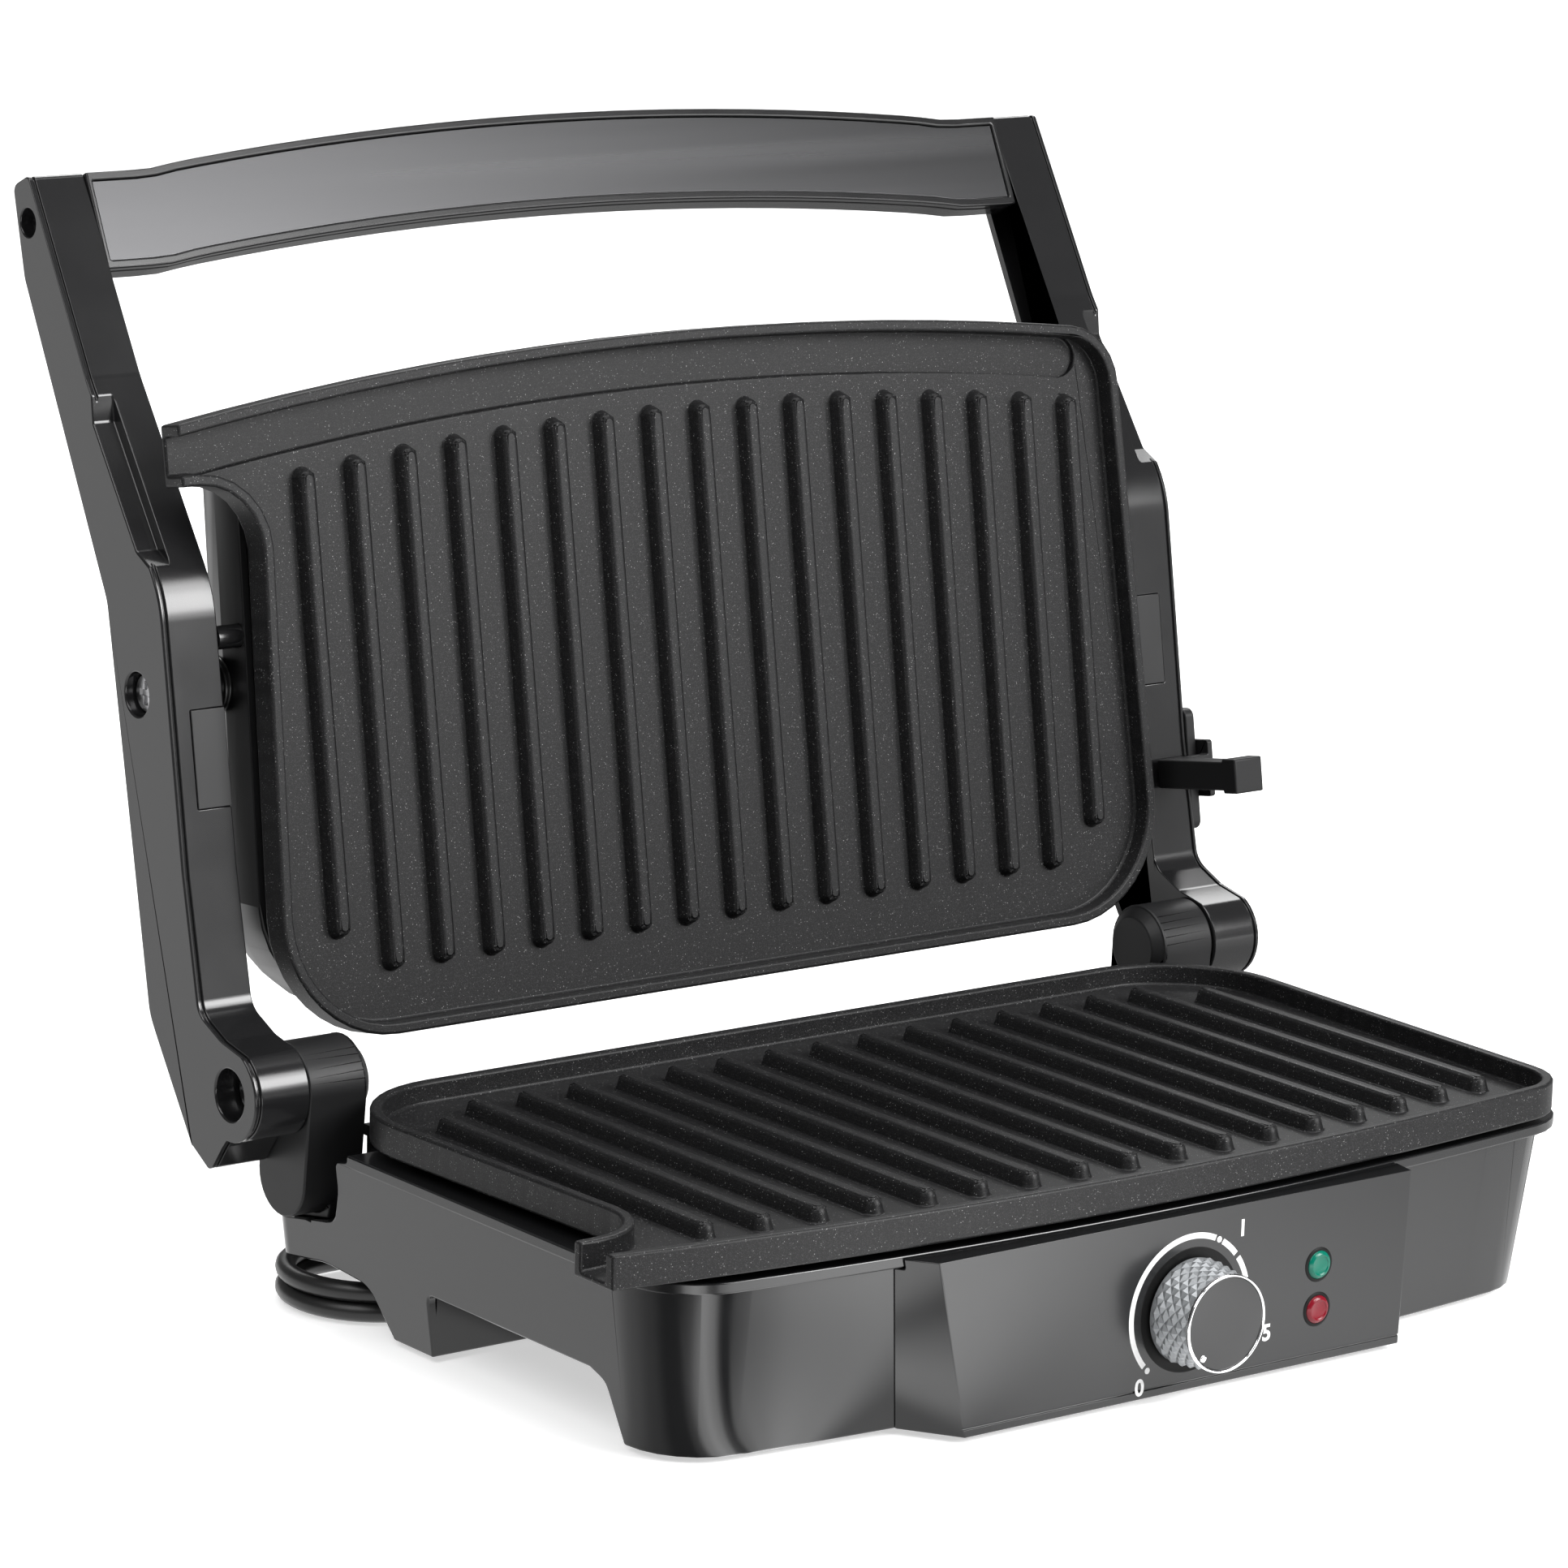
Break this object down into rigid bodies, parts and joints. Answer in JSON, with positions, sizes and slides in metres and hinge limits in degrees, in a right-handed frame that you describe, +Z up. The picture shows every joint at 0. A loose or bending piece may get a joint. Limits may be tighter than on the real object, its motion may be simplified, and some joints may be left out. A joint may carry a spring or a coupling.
{
  "type": "panini press",
  "caption": "Hinged contact grill: ribbed plates that press and toast a sandwich from both sides, a dial and lamps in front, a bail handle on side arms.",
  "frame": {"origin": "on the table straight below the hinge axis, on the centre plane of the plates", "axes": "+X to the user's right along the hinge axis, -Y to the front, +Z up from the table"},
  "size_m": [0.3343, 0.2958, 0.2849],
  "materials": {
    "body": "glossy charcoal moulding",
    "panel": "glossy charcoal moulding",
    "underside": "matte black moulding",
    "hinge_black": "satin black moulding",
    "rubber": "matte",
    "cord_jacket": "satin",
    "plate": "cast, dark non-stick coating with fine sparkle",
    "heater": "dull sheath",
    "sheet": "bright sheet",
    "steel": "bright",
    "knob_metal": "knurled satin silver with a bright ring",
    "knob_cap": "satin grey",
    "green_lens": "clear green",
    "red_lens": "clear red",
    "pad": "smooth grey",
    "polished": "polished grey"
  },
  "bodies": {
    "base": {"base_housing": "body", "bottom_cover": "underside", "base_screws": "steel", "feet": "rubber", "control_panel": "panel", "lower_plate": "plate", "lower_element": "heater", "lower_reflector": "sheet", "element_straps": "sheet", "thermostat": "sheet", "green_lamp": "green_lens", "red_lamp": "red_lens", "left_hinge_post": "hinge_black", "right_hinge_post": "hinge_black", "hinge_screws": "steel", "cord_gland": "underside", "strain_relief": "cord_jacket", "cord_coil": "cord_jacket", "cord": "cord_jacket", "plug": "cord_jacket"},
    "lid_arms": {"left_arm": "body", "right_arm": "body", "arm_pads": "pad", "handle_back": "body", "handle_bezel": "body", "handle_insert": "polished", "handle_screws": "steel", "pivot_pins": "steel", "latch_track": "hinge_black"},
    "head": {"lid_cover": "body", "upper_plate": "plate", "upper_element": "heater", "upper_reflector": "sheet", "upper_straps": "sheet", "stop_pins": "hinge_black"},
    "knob": {"thermostat_shaft": "steel", "knob_skirt": "knob_metal", "knob_cap": "knob_cap"},
    "latch": {"storage_latch": "hinge_black"}
  },
  "joints": [
    {"name": "lid_hinge", "type": "hinge", "parent": "base", "child": "lid_arms", "pos_m": [0, 0, 0.0595], "axis": [-1, 0, 0], "range_deg": [-99.4, 77]},
    {"name": "head_tilt", "type": "hinge", "parent": "lid_arms", "child": "head", "pos_m": [0, 0.04425, 0.15293], "axis": [1, 0, 0], "range_deg": [-2, 2]},
    {"name": "knob_turn", "type": "hinge", "parent": "base", "child": "knob", "pos_m": [0.0015, -0.18, 0.0219], "axis": [0, 1, 0], "range_deg": [0, 270]},
    {"name": "latch_slide", "type": "slide", "parent": "lid_arms", "child": "latch", "axis": [0, 0.1633, 0.9866], "range_m": [-0.007, 0.007]}
  ]
}
